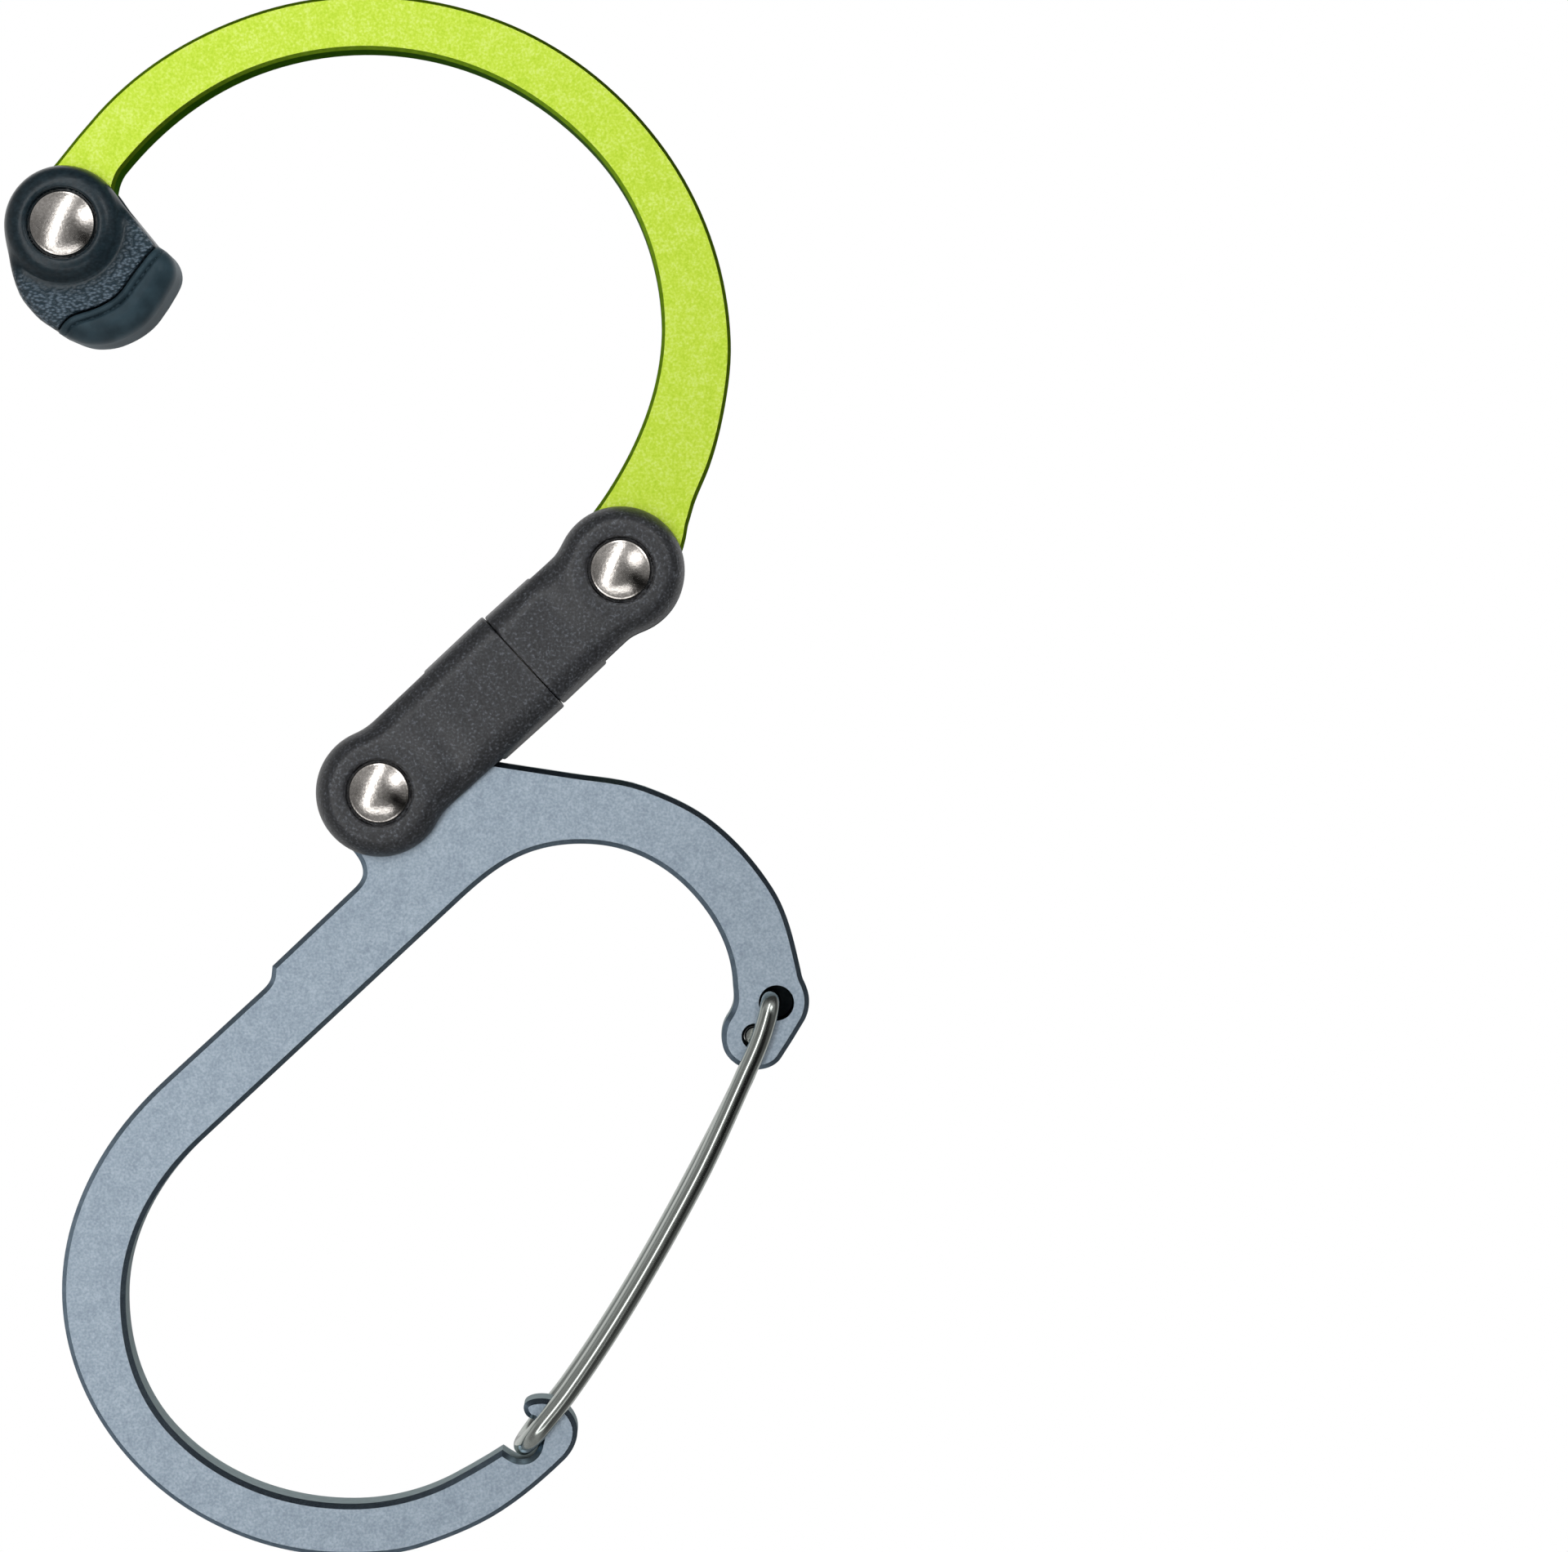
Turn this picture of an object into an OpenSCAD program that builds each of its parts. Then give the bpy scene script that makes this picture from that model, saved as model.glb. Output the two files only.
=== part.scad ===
// Swivel hook clip: a wire-gate carabiner and a fold-out hook, joined by a two-part swivel link.
// Millimetres. The front faces -Y and +Z is up.
// The origin is the top of the hook's seat, midway through the plate.

/* [Plates] */
// Thickness of the hook arm and of the carabiner frame
plate_t = 5; // [4.6:0.1:5.4]
// Radius of the round eyes at the two ends of the hook arm
eye_r = 6.2; // [5.8:0.1:6.3]
// Radius of the carabiner's pivot lug
lug_r = 5.8; // [5.4:0.1:6]

/* [Link] */
// Distance between the link's two pivots
link_len = 40; // [39.8:0.1:40.4]
// Slope of the link above level
link_angle = 42.7; // [42:0.1:43]
// Radius of the round boss at each end of the link
boss_r = 8.2; // [7.9:0.1:8.4]
// Thickness over the bosses
boss_h = 13; // [12.6:0.1:13.6]
// Thickness of the link between the bosses
body_h = 12.2; // [11.8:0.1:12.6]
// Width of the lower half, which holds the carabiner
lower_w = 14.8; // [14.4:0.1:15]
// Width of the upper half, which holds the hook
upper_w = 14.2; // [13.8:0.1:14.4]
// Rounding of the link's long edges
edge_r = 2.4; // [1.6:0.1:2.8]
// Distance from the lower pivot to the swivel seam
seam_s = 23.7; // [23.2:0.1:24]
// Depth of the lower half's slot past its pivot
lower_slot = 13.7; // [13.6:0.1:14]
// Depth of the upper half's slot past its pivot
upper_slot = 8.8; // [8.6:0.1:9]

/* [Rivets and washers] */
// Radius of the rivet shanks
rivet_r = 2; // [1.6:0.1:2.2]
// Radius of the two link rivets' heads
head_r = 3.7; // [3.4:0.1:4]
// Radius of the foot rivet's head
foot_head_r = 4; // [3.6:0.1:4.2]
// Height of a rivet head at its middle
head_h = 1.4; // [1.1:0.1:1.5]
// Depth of the recess that a head sits in
recess_d = 1.2; // [1:0.1:1.4]
// Gap round a head in its recess
recess_gap = 0.35; // [0.2:0.05:0.5]
// Thickness of a friction washer
washer_t = 0.45; // [0.3:0.05:0.5]

/* [Swivel] */
// Radius of the swivel pin
pin_r = 2.2; // [1.8:0.1:2.4]
// Radius of the pin's two collars
collar_r = 3.6; // [3.2:0.1:3.9]
// Thickness of each collar
collar_t = 2; // [1.6:0.1:2.2]
// Distance from the lower pivot to the pin's lower end
pin_start = 16; // [15.6:0.1:16.4]
// Length of the pin over both collars
pin_len = 14; // [13.6:0.1:14.2]

/* [Gate] */
// Diameter of the gate's wire
wire_d = 2.4; // [2:0.1:2.4]
// Angle that the gate opens by
gate_open = 18; // [12:1:18]
// Distance between the gate's two holes
hole_gap = 4.9; // [4.7:0.1:5]
// Radius of the front hole
front_hole_r = 2.05; // [2.05:0.05:2.15]
// Depth of the front hole, which stops inside the plate
front_hole_d = 4; // [3.8:0.1:4.2]
// Radius of the back hole, which goes right through
back_hole_r = 1.3; // [1.25:0.05:1.4]

/* [Foot] */
// Radius of the foot's round boss
foot_boss_r = 7.2; // [7:0.1:7.4]
// Thickness over the foot's boss
foot_boss_h = 12.4; // [12:0.1:12.8]
// Thickness of the foot's core
core_h = 10.6; // [10.2:0.1:11]
// Thickness of the foot's sole
sole_h = 11.2; // [10.8:0.1:11.6]

/* [Hidden] */

// Largest turn between two points of a curve
arc_step = 8;
// Clearance of a turning fit, and of two pieces that are fixed together
run_gap = 0.05;
fixed_gap = 0.02;
// Clearance on each face of a friction washer
washer_gap = 0.025;
washer_r = 5.4;
slot_w = plate_t + 2 * washer_t + 4 * washer_gap;

// Pivots, as x and z
link_pivot = [1.6, -90.9];
hook_pivot = link_pivot + link_len * [cos(link_angle), sin(link_angle)];
foot_pivot = [-37, -21.6];

// The gate turns in its back hole, and its other end swings in the larger front hole
// It rests half its opening before that end stands in the middle of its hole
gate_pivot = [47.4, -120.8];
hole_angle = 57;
gate_rest_angle = hole_angle + gate_open / 2;
front_hole = gate_pivot + hole_gap * ray(hole_angle);
front_pin = gate_pivot + hole_gap * ray(gate_rest_angle);
// Depth at which each wire end stops: short of the front hole's floor, and just inside the plate's front face
front_pin_end = front_hole_d - plate_t / 2 - 0.3;
back_pin_end = 0.1 - plate_t / 2;
// Middle of the wire's bend across the nose, and the slope of the wire there
gate_nose = [19, -171.2];
gate_nose_heading = 231;
// Distance of the wire's legs from the middle of the plate
leg_y = plate_t / 2 + 0.3 + wire_d / 2;
wire_bend_r = 1.4;

// Joining piece of a rivet: the cap's spigot sits in the post's hollow end
spigot_r = 1;
spigot_len = 4;
dome_rise = 0.8;

// Where the swivel pin ends, and the seam's thrust washer
pin_end = pin_start + pin_len;
thrust_r = 5;
thrust_t = 0.48;
thrust_seat = 0.4;
seam_gap = 0.1;

// Curves
// A path is a list of nodes [x, z, heading], or [x, z, heading in, heading out] at a corner.
function ray(a) = [cos(a), sin(a)];
function turn(a, b) = ((b - a + 900) % 360) - 180;
function slope(p, q) = atan2(q[1] - p[1], q[0] - p[0]);
function out_of(n) = len(n) > 3 ? n[3] : n[2];
function spot(n) = [n[0], n[1]];
function on_circle(c, r, a) = [c[0] + r * cos(a), c[1] + r * sin(a), a - 90];

// Length of a curve's handles, so that a stretch with even ends is a circular arc
function handle(chord, bend) =
    abs(bend) < 0.1 ? chord / 3 : chord * 2 / 3 * tan(bend / 4) / sin(bend / 2);

function bezier(a, b, c, d, t) =
    pow(1 - t, 3) * a + 3 * t * pow(1 - t, 2) * b + 3 * t * t * (1 - t) * c + pow(t, 3) * d;

// Points from node m up to, but not with, node n
function stretch(m, n) =
    let (p = spot(m), q = spot(n), along = slope(p, q))
    let (reach = handle(norm(q - p), turn(out_of(m), n[2])))
    let (swing = abs(turn(out_of(m), along)) + abs(turn(along, n[2])))
    let (steps = max(1, ceil(swing / arc_step)))
    [for (i = [0 : steps - 1])
        bezier(p, p + reach * ray(out_of(m)), q - reach * ray(n[2]), q, i / steps)];

function open_path(nodes) = [for (i = [0 : len(nodes) - 2]) each stretch(nodes[i], nodes[i + 1])];
function closed_path(nodes) = concat(open_path(nodes), stretch(nodes[len(nodes) - 1], nodes[0]));
function backwards(nodes) =
    [for (i = [len(nodes) - 1 : -1 : 0]) let (n = nodes[i]) [n[0], n[1], out_of(n) + 180, n[2] + 180]];

// Hook arm: over the outside from the tip to the root, then back along the inside
hook_nodes = [
    on_circle(foot_pivot, eye_r, 180), on_circle(foot_pivot, eye_r, 140),
    [-38, -13.6, 52], [-33.1, -7.7, 48], [-14.3, 4.4, 19], [14.8, 4.2, -19], [35.6, -11, -52.5],
    [44.5, -35.7, -88], [43.8, -43.5, -100], [41.9, -50.9, -110], [39.7, -56.6, -103], [39.2, -58.5, -97],
    on_circle(hook_pivot, eye_r, -20), on_circle(hook_pivot, eye_r, -90), on_circle(hook_pivot, eye_r, 180),
    [27.7, -56.5, 53], [31.6, -50.3, 62], [36, -32.6, 93], [27.9, -12.6, 132], [9.5, -1.2, 165],
    [-12.1, -1.8, 198], [-30, -14.5, 231], [-31.1, -17.5, 266],
    on_circle(foot_pivot, eye_r, 0), on_circle(foot_pivot, eye_r, -90)
];

// Carabiner: the shoulder and gate lug, the inside from there to the nose, and the outside to the pivot lug
shoulder_slope = -8.7;
shoulder_nodes = [
    on_circle(link_pivot, lug_r, 90 + shoulder_slope), [25, -88.6, shoulder_slope], [33.9, -90.2, -20],
    [42.3, -94.5, -38], [49.6, -102.6, -57], [53, -112.4, -77]
];
gate_lug_nodes = [
    [53.4, -113.9, -64], [54.1, -116.3, -88], [53.5, -118.9, -119], [50.7, -123.4, -122], [47.5, -124.9, 180],
    [44, -123.1, 125], [43.4, -120.7, 88], [44.1, -118.4, 57], [44.9, -116.4, 85]
];
inside_nodes = [
    [44.8, -114.4, 93], [39.1, -102.6, 135], [28, -97.3, 175], [20, -98.2, 199], [11.5, -103.9, 222.6],
    [-20.3, -133.5, 222.6], [-29.7, -152.9, 270], [-24.1, -168.8, 312], [-2, -178.1, 0], [10.7, -174.9, 28.5]
];
nose_nodes = [
    [16.5, -171.5, 33, -35], [17.9, -172.4, -28], [19.1, -172.6, 3], [20.9, -171, 78], [21.2, -169.2, 92],
    [20.2, -167.7, 170], [19.1, -166.4, 95], [20.8, -165.2, 5], [24, -166.1, -38], [25.7, -169.2, -90]
];
outside_nodes = [
    [24, -172.8, 224], [16.4, -179, 213], [6.9, -183.3, 199], [-2.6, -184.5, 180], [-14.1, -182.6, 161],
    [-26.5, -175.4, 138], [-37.5, -151.9, 90], [-30.8, -132.7, 54], [-24.5, -125.8, 42.6],
    [-13.2, -115.4, 42.6], [-11.8, -113.3, 85], [-11.7, -112.2, 88, 42.6], [-1.9, -102.9, 42.6],
    [-0.6, -100.6, 93], [-1.9, -98, 131], on_circle(link_pivot, lug_r, 195),
    on_circle(link_pivot, lug_r, 150), on_circle(link_pivot, lug_r, 90)
];
carabiner_nodes = concat(shoulder_nodes, gate_lug_nodes, inside_nodes, nose_nodes, outside_nodes);

// Foot, measured from its pivot: the seam between core and sole, and the two outlines that share it
seam_nodes = [
    [11.3, -2.5, -48, 231], [8.5, -6.2, 232], [6.6, -8.7, 222], [4.3, -10.1, 205], [1.6, -11, 200],
    [-0.1, -12.2, 228], [-0.8, -13, 228]
];
core_nodes = concat(
    [on_circle([0, 0], foot_boss_r, 42)], seam_nodes,
    [[-0.8, -13, 228, 142], [-3.5, -11, 131], [-5.4, -8.5, 115], [-6.8, -3.7, 99], [-7.2, 0, 90, 22]]);
sole_nodes = concat(
    backwards(seam_nodes),
    [[12.3, -3.2, -38], [13.6, -5.8, -90], [12.9, -7.8, -118], [10.9, -10.9, -126], [6.3, -14.1, -160],
     [3.6, -14.5, 180], [1.1, -13.9, 156]]);
// Room in the foot's slot for the hook's eye, and the directions between which the slot is open
tip_room_r = eye_r + 0.4;
tip_open_from = 10;
tip_open_to = 220;
tip_open_len = 14;

// Wire gate: the in-plane route of each leg, from its hole to the start of the bend at the nose
gate_leg_end = gate_nose - leg_y * ray(gate_nose_heading);
shared_run = [[39.9, -138.9, 242], [24.8, -163.9, 234.5], concat(gate_leg_end, [gate_nose_heading])];
front_leg = concat([concat(front_pin, [257]), [47, -123.6, 245.5]], shared_run);
back_leg = concat([concat(gate_pivot, [268]), [46.1, -126.8, 244]], shared_run);

// A station of the wire is [x, y, z, heading, tilt]
// A tilt of 0 runs along the heading, and one of 90 towards the back
leg_steps = 5;
bend_steps = 4;
nose_steps = 8;
wire_sides = 12;

function leg_station(m, n, y, tilt, t) =
    let (p = spot(m), q = spot(n), bend = turn(m[2], n[2]))
    let (reach = handle(norm(q - p), bend))
    let (c = bezier(p, p + reach * ray(m[2]), q - reach * ray(n[2]), q, t))
    [c[0], y, c[1], m[2] + t * bend, tilt];

// The pin in its hole, the bend out of it, and the leg, for the leg at depth side * leg_y
function half_gate(leg, side, stop_y) =
    let (start = leg[0], base = side > 0 ? 180 : 0)
    let (elbow = [for (i = [0 : bend_steps]) let (a = 90 * i / bend_steps)
        [start[0] + wire_bend_r * (1 - cos(a)) * cos(start[2]),
         side * (leg_y - wire_bend_r * (1 - sin(a))),
         start[1] + wire_bend_r * (1 - cos(a)) * sin(start[2]), start[2], base + side * (90 - a)]])
    let (first = concat(spot(start) + wire_bend_r * ray(start[2]), [start[2]]))
    let (run = concat([first], [for (i = [1 : len(leg) - 1]) leg[i]]))
    concat(
        [[start[0], stop_y, start[1], start[2], base + side * 90]],
        elbow,
        [for (i = [0 : len(run) - 2], k = [1 : leg_steps])
            leg_station(run[i], run[i + 1], side * leg_y, base, k / leg_steps)]);

function reversed(list) = [for (i = [len(list) - 1 : -1 : 0]) list[i]];
nose_bend = [for (i = [1 : nose_steps - 1]) let (a = 180 * i / nose_steps)
    [gate_leg_end[0] + leg_y * sin(a) * cos(gate_nose_heading), -leg_y * cos(a),
     gate_leg_end[1] + leg_y * sin(a) * sin(gate_nose_heading), gate_nose_heading, a]];
gate_stations = concat(
    half_gate(front_leg, -1, front_pin_end), nose_bend, reversed(half_gate(back_leg, 1, back_pin_end)));

function ring_point(s, k) =
    let (h = s[3], tilt = s[4], a = 360 * k / wire_sides)
    let (across = [-sin(h), 0, cos(h)], over = [-sin(tilt) * cos(h), cos(tilt), -sin(tilt) * sin(h)])
    [s[0], s[1], s[2]] + wire_d / 2 * (cos(a) * across + sin(a) * over);

// Shared shapes
module at(pivot) translate([pivot[0], 0, pivot[1]]) children();
module through() rotate([90, 0, 0]) children();
module on_link(s = 0) at(link_pivot) rotate([0, -link_angle, 0]) translate([s, 0, 0]) children();

module plate(nodes, thickness) through() linear_extrude(thickness, center = true) polygon(closed_path(nodes));
module drill(pivot, r) at(pivot) through() cylinder(r = r, h = 60, center = true, $fn = 64);

module rounded_disc(r, h, f)
    through() rotate_extrude($fn = 96) {
        translate([0, -h / 2]) square([r - f, h]);
        translate([0, f - h / 2]) square([r, h - 2 * f]);
        for (side = [-1, 1])
            translate([r - f, side * (h / 2 - f)]) circle(f, $fn = 48);
    }

module rounded_bar(from, to, w, h, f)
    translate([from, 0, 0]) rotate([90, 0, 90]) linear_extrude(to - from) {
        square([h - 2 * f, w], center = true);
        square([h, w - 2 * f], center = true);
        for (y = [-1, 1], z = [-1, 1])
            translate([y * (h / 2 - f), z * (w / 2 - f)]) circle(f, $fn = 48);
    }

// The front half of a piece has side -1, and the back half 1
module half(side)
    intersection() {
        children();
        translate([-100, side > 0 ? 0 : -50, -100]) cube([200, 50, 200]);
    }

module recess(h, r)
    for (side = [-1, 1])
        translate([0, side * h / 2, 0]) through()
            cylinder(r = r + recess_gap, h = 2 * recess_d, center = true, $fn = 64);

module rivet_head(r) {
    dome_r = (r * r + dome_rise * dome_rise) / (2 * dome_rise);
    intersection() {
        cylinder(r = r, h = head_h, $fn = 96);
        translate([0, 0, head_h - dome_r]) sphere(dome_r, $fn = 96);
    }
}

module rivet_post(h, r) {
    seat = h / 2 - recess_d;
    through() {
        translate([0, 0, seat]) rivet_head(r);
        difference() {
            translate([0, 0, -seat]) cylinder(r = rivet_r, h = 2 * seat, $fn = 64);
            translate([0, 0, -seat - 1]) cylinder(r = spigot_r, h = spigot_len + 1.2, $fn = 48);
        }
    }
}

module rivet_cap(h, r) {
    seat = h / 2 - recess_d;
    through() {
        mirror([0, 0, 1]) translate([0, 0, seat]) rivet_head(r);
        translate([0, 0, -seat]) cylinder(r = spigot_r - fixed_gap, h = spigot_len, $fn = 48);
    }
}

module washers()
    for (side = [-1, 1])
        translate([0, side * (plate_t / 2 + washer_gap + washer_t / 2), 0]) through()
            difference() {
                cylinder(r = washer_r, h = washer_t, center = true, $fn = 64);
                cylinder(r = rivet_r + run_gap, h = 2, center = true, $fn = 64);
            }

// A turned shape along the link, from one distance to another
module turned(from, to, r)
    translate([from, 0, 0]) rotate([0, 90, 0]) cylinder(r = r, h = to - from, $fn = 64);

// Link shells
module lower_half()
    on_link() difference() {
        union() {
            rounded_disc(boss_r, boss_h, edge_r);
            rounded_bar(0, seam_s, lower_w, body_h, edge_r);
        }
        translate([-20, -slot_w / 2, -20]) cube([20 + lower_slot, slot_w, 40]);
        recess(boss_h, head_r);
        through() cylinder(r = rivet_r + fixed_gap, h = 40, center = true, $fn = 64);
        turned(pin_start, seam_s + 1, pin_r + fixed_gap);
        turned(pin_start - fixed_gap, pin_start + collar_t + fixed_gap, collar_r + fixed_gap);
        turned(seam_s - thrust_seat, seam_s + 1, thrust_r + fixed_gap);
    }

module upper_half()
    on_link(link_len) difference() {
        union() {
            rounded_disc(boss_r, boss_h, edge_r);
            rounded_bar(seam_s + seam_gap - link_len, 0, upper_w, body_h, edge_r);
        }
        translate([-upper_slot, -slot_w / 2, -20]) cube([40, slot_w, 40]);
        recess(boss_h, head_r);
        through() cylinder(r = rivet_r + fixed_gap, h = 40, center = true, $fn = 64);
        translate([-link_len, 0, 0]) {
            turned(seam_s, pin_end, pin_r + run_gap);
            turned(pin_end - collar_t - run_gap, pin_end + run_gap, collar_r + run_gap);
        }
    }

// Sub-parts
module hook_arm()
    color("yellowgreen") difference() {
        plate(hook_nodes, plate_t);
        drill(hook_pivot, rivet_r + run_gap);
        drill(foot_pivot, rivet_r + run_gap);
    }

module foot_core()
    color("darkslategray") at(foot_pivot) difference() {
        union() {
            rounded_disc(foot_boss_r, foot_boss_h, edge_r - 0.4);
            plate(core_nodes, core_h);
        }
        through() linear_extrude(slot_w, center = true) {
            circle(tip_room_r, $fn = 96);
            polygon(concat([[0, 0]], [for (a = [tip_open_from : 15 : tip_open_to]) tip_open_len * ray(a)]));
        }
        recess(foot_boss_h, foot_head_r);
        through() cylinder(r = rivet_r + fixed_gap, h = 40, center = true, $fn = 64);
    }

module foot_sole() color("darkslategray") at(foot_pivot) plate(sole_nodes, sole_h);
module foot_rivet_post() color("silver") at(foot_pivot) rivet_post(foot_boss_h, foot_head_r);
module foot_rivet_cap() color("silver") at(foot_pivot) rivet_cap(foot_boss_h, foot_head_r);
module foot_washers() color("ivory") at(foot_pivot) washers();

module upper_front_shell() color("dimgray") half(-1) upper_half();
module upper_back_shell() color("dimgray") half(1) upper_half();
module hook_rivet_post() color("silver") at(hook_pivot) rivet_post(boss_h, head_r);
module hook_rivet_cap() color("silver") at(hook_pivot) rivet_cap(boss_h, head_r);
module hook_washers() color("ivory") at(hook_pivot) washers();

module lower_front_shell() color("dimgray") half(-1) lower_half();
module lower_back_shell() color("dimgray") half(1) lower_half();
module link_rivet_post() color("silver") at(link_pivot) rivet_post(boss_h, head_r);
module link_rivet_cap() color("silver") at(link_pivot) rivet_cap(boss_h, head_r);
module link_washers() color("ivory") at(link_pivot) washers();

module swivel_pin()
    color("silver") on_link() {
        turned(pin_start, pin_end, pin_r);
        turned(pin_start, pin_start + collar_t, collar_r);
        turned(pin_end - collar_t, pin_end, collar_r);
    }

module swivel_washer()
    color("ivory") on_link() difference() {
        turned(seam_s - thrust_seat, seam_s - thrust_seat + thrust_t, thrust_r);
        turned(seam_s - 2, seam_s + 2, pin_r + run_gap);
    }

module carabiner_frame()
    color("lightsteelblue") difference() {
        plate(carabiner_nodes, plate_t);
        drill(link_pivot, rivet_r + run_gap);
        at(front_hole) through() translate([0, 0, plate_t / 2 - front_hole_d])
            cylinder(r = front_hole_r, h = 2 * plate_t, $fn = 64);
        drill(gate_pivot, back_hole_r);
    }

module wire_gate() {
    rings = len(gate_stations);
    points = [for (s = gate_stations, k = [0 : wire_sides - 1]) ring_point(s, k)];
    sides = [for (i = [0 : rings - 2], k = [0 : wire_sides - 1])
        let (a = i * wire_sides + k, b = i * wire_sides + (k + 1) % wire_sides)
        each [[a, b, b + wire_sides], [a, b + wire_sides, a + wire_sides]]];
    first_end = [for (k = [wire_sides - 1 : -1 : 0]) k];
    last_end = [for (k = [0 : wire_sides - 1]) (rings - 1) * wire_sides + k];
    color("gainsboro") polyhedron(points, concat(sides, [first_end, last_end]));
}

hook_arm();
foot_core();
foot_sole();
foot_rivet_post();
foot_rivet_cap();
foot_washers();
upper_front_shell();
upper_back_shell();
hook_rivet_post();
hook_rivet_cap();
hook_washers();
lower_front_shell();
lower_back_shell();
link_rivet_post();
link_rivet_cap();
link_washers();
swivel_pin();
swivel_washer();
carabiner_frame();
wire_gate();
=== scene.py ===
import math

import bmesh
import bpy
import numpy as np
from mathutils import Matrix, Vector


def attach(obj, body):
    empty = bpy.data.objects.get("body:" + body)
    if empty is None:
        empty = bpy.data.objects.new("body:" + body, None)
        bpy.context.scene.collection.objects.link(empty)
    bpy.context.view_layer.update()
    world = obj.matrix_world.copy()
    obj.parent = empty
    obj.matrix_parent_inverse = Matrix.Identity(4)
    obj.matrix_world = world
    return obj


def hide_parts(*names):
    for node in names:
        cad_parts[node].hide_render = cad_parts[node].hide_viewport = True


# The looks of a swivel hook clip: wire-gate carabiner, swivel link, and fold-out hook with a pivoting foot.
# Shapes are worked out in millimetres and made in metres. The front faces -Y and +Z is up.
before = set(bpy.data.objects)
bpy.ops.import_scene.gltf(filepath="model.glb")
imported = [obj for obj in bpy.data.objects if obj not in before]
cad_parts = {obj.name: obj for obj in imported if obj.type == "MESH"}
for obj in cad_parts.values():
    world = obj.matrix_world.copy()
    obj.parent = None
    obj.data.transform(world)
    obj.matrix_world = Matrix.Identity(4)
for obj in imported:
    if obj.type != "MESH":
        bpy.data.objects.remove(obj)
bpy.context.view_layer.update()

MM = 0.001


def ray(angle):
    """The step of length 1, as x and z, in a direction in degrees."""
    return np.array((math.cos(math.radians(angle)), math.sin(math.radians(angle))))


# Plates
PLATE_T = 5.0
HOOK_BEVEL = 0.42
FRAME_BEVEL = 0.6
BORE_BEVEL = 0.12
EYE_R = 6.2
LUG_R = 5.8
PIVOT_BORE_R = 2.05
MITRE_LEAST = 0.4

# Pivots, as x and z
LINK_PIVOT = np.array((1.6, -90.9))
LINK_ANGLE = 42.7
LINK_LEN = 40.0
LINK_RAY = ray(LINK_ANGLE)
HOOK_PIVOT = LINK_PIVOT + LINK_LEN * LINK_RAY
FOOT_PIVOT = np.array((-37.0, -21.6))

# Link
BOSS_R = 8.2
BOSS_HALF = 6.5
BOSS_END_ANGLE = 71
BAND_HALF = 6.1
BAND_START = 5.2
BAND_END = 36.0
LINK_ROUND = 2.7
SLOT_HALF = 3.0
SEAM_S = 23.7
SEAM_GAP = 0.1
PARTING_GAP = 0.015
DRAFT = 0.1

# Soft forms of the link: the radii where the boss falls to the band and where its crisper edge ends,
# the dip round the boss, and the rounding of cut edges
BOSS_FADE = (5.6, 8.4)
CRISP_FADE = (6.5, 9.5)
CRISP_BY = 0.7
DIP_D = 0.3
DIP_R = 9.8
DIP_W = 1.9
SEAM_EDGE = 0.25
SLOT_EDGE = 0.4
RECESS_EDGE = 0.4
PARTING_EDGE = 0.2

# Rivets: each shank ends at a distance from the middle plane, counted towards its own head
RIVET_R = 2.0
BORE_PLAY = 0.02
HEAD_R = 3.7
FOOT_HEAD_R = 4.0
HEAD_H = 1.4
HEAD_RIM = 0.22
DOME_RISE = 0.8
RECESS_D = 1.2
RECESS_GAP = 0.35
SPIGOT_R = 0.98
POST_END = -0.3
SPIGOT_END = 1.0

# Swivel pin
PIN_R = 2.26
COLLAR_R = 3.68
PIN_SPAN = (15.9, 30.1)
COLLAR_T = 2.15
WASHER_SEAT_R = 5.02
WASHER_SEAT_D = 0.42

# Gate
WIRE_R = 1.2
GATE_PIVOT = np.array((47.4, -120.8))
HOLE_ANGLE = 57
GATE_OPEN = 18
GATE_REST_ANGLE = HOLE_ANGLE + GATE_OPEN / 2
HOLE_GAP = 4.9
FRONT_HOLE_R = 2.05
FRONT_HOLE_D = 4.0
BACK_HOLE_R = 1.3
BACK_HOLE_SINK = 0.3
GATE_NOSE = np.array((19.0, -171.2))
GATE_NOSE_HEADING = 231
GATE_SLANT = 60
WIRE_GAP = 0.3
LEG_Y = PLATE_T / 2 + WIRE_GAP + WIRE_R
WIRE_BEND_R = 1.4
FRONT_END_GAP = 0.3
BACK_END_GAP = 0.1
GATE_LEG_END = GATE_NOSE - LEG_Y * ray(GATE_NOSE_HEADING)

# Foot
FOOT_BOSS_R = 7.2
FOOT_BOSS_HALF = 6.2
FOOT_BOSS_ROUND = 2.3
FOOT_BOSS_BLEND = 0.6
CORE_HALF = 5.3
CORE_ROUND = 1.7
CORE_DIP = 0.5
CORE_DIP_FADE = (7.0, 9.8)
CORE_SEAM_EDGE = 0.5
SOLE_HALF = 5.6
SOLE_ROUND = 2.4
SOLE_PROUD = 0.1
SOLE_SEAM_EDGE = 0.4
TIP_ROOM_R = 6.6
TIP_ROOM_REACH = 14
TIP_ROOM_ANGLES = range(10, 221, 15)

# The seam between core and sole, and the lip and groove that follow it on the sole
FOOT_SEAM_OPEN = 0.13
FOOT_SEAM_CLOSING = 0.12
FOOT_SEAM_FADE = (3.4, 4.6)
LIP_D = 0.12
LIP_FADE = (0.9, 1.2)
GROOVE_D = 0.5
GROOVE_AT = 1.1
GROOVE_W = 0.16

# Degrees of turn from one point of a path to the next
PLATE_TURN = 2.0
SEAM_TURN = 3.0
MOULD_TURN = 4.0
LEG_TURN = 0.5


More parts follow.
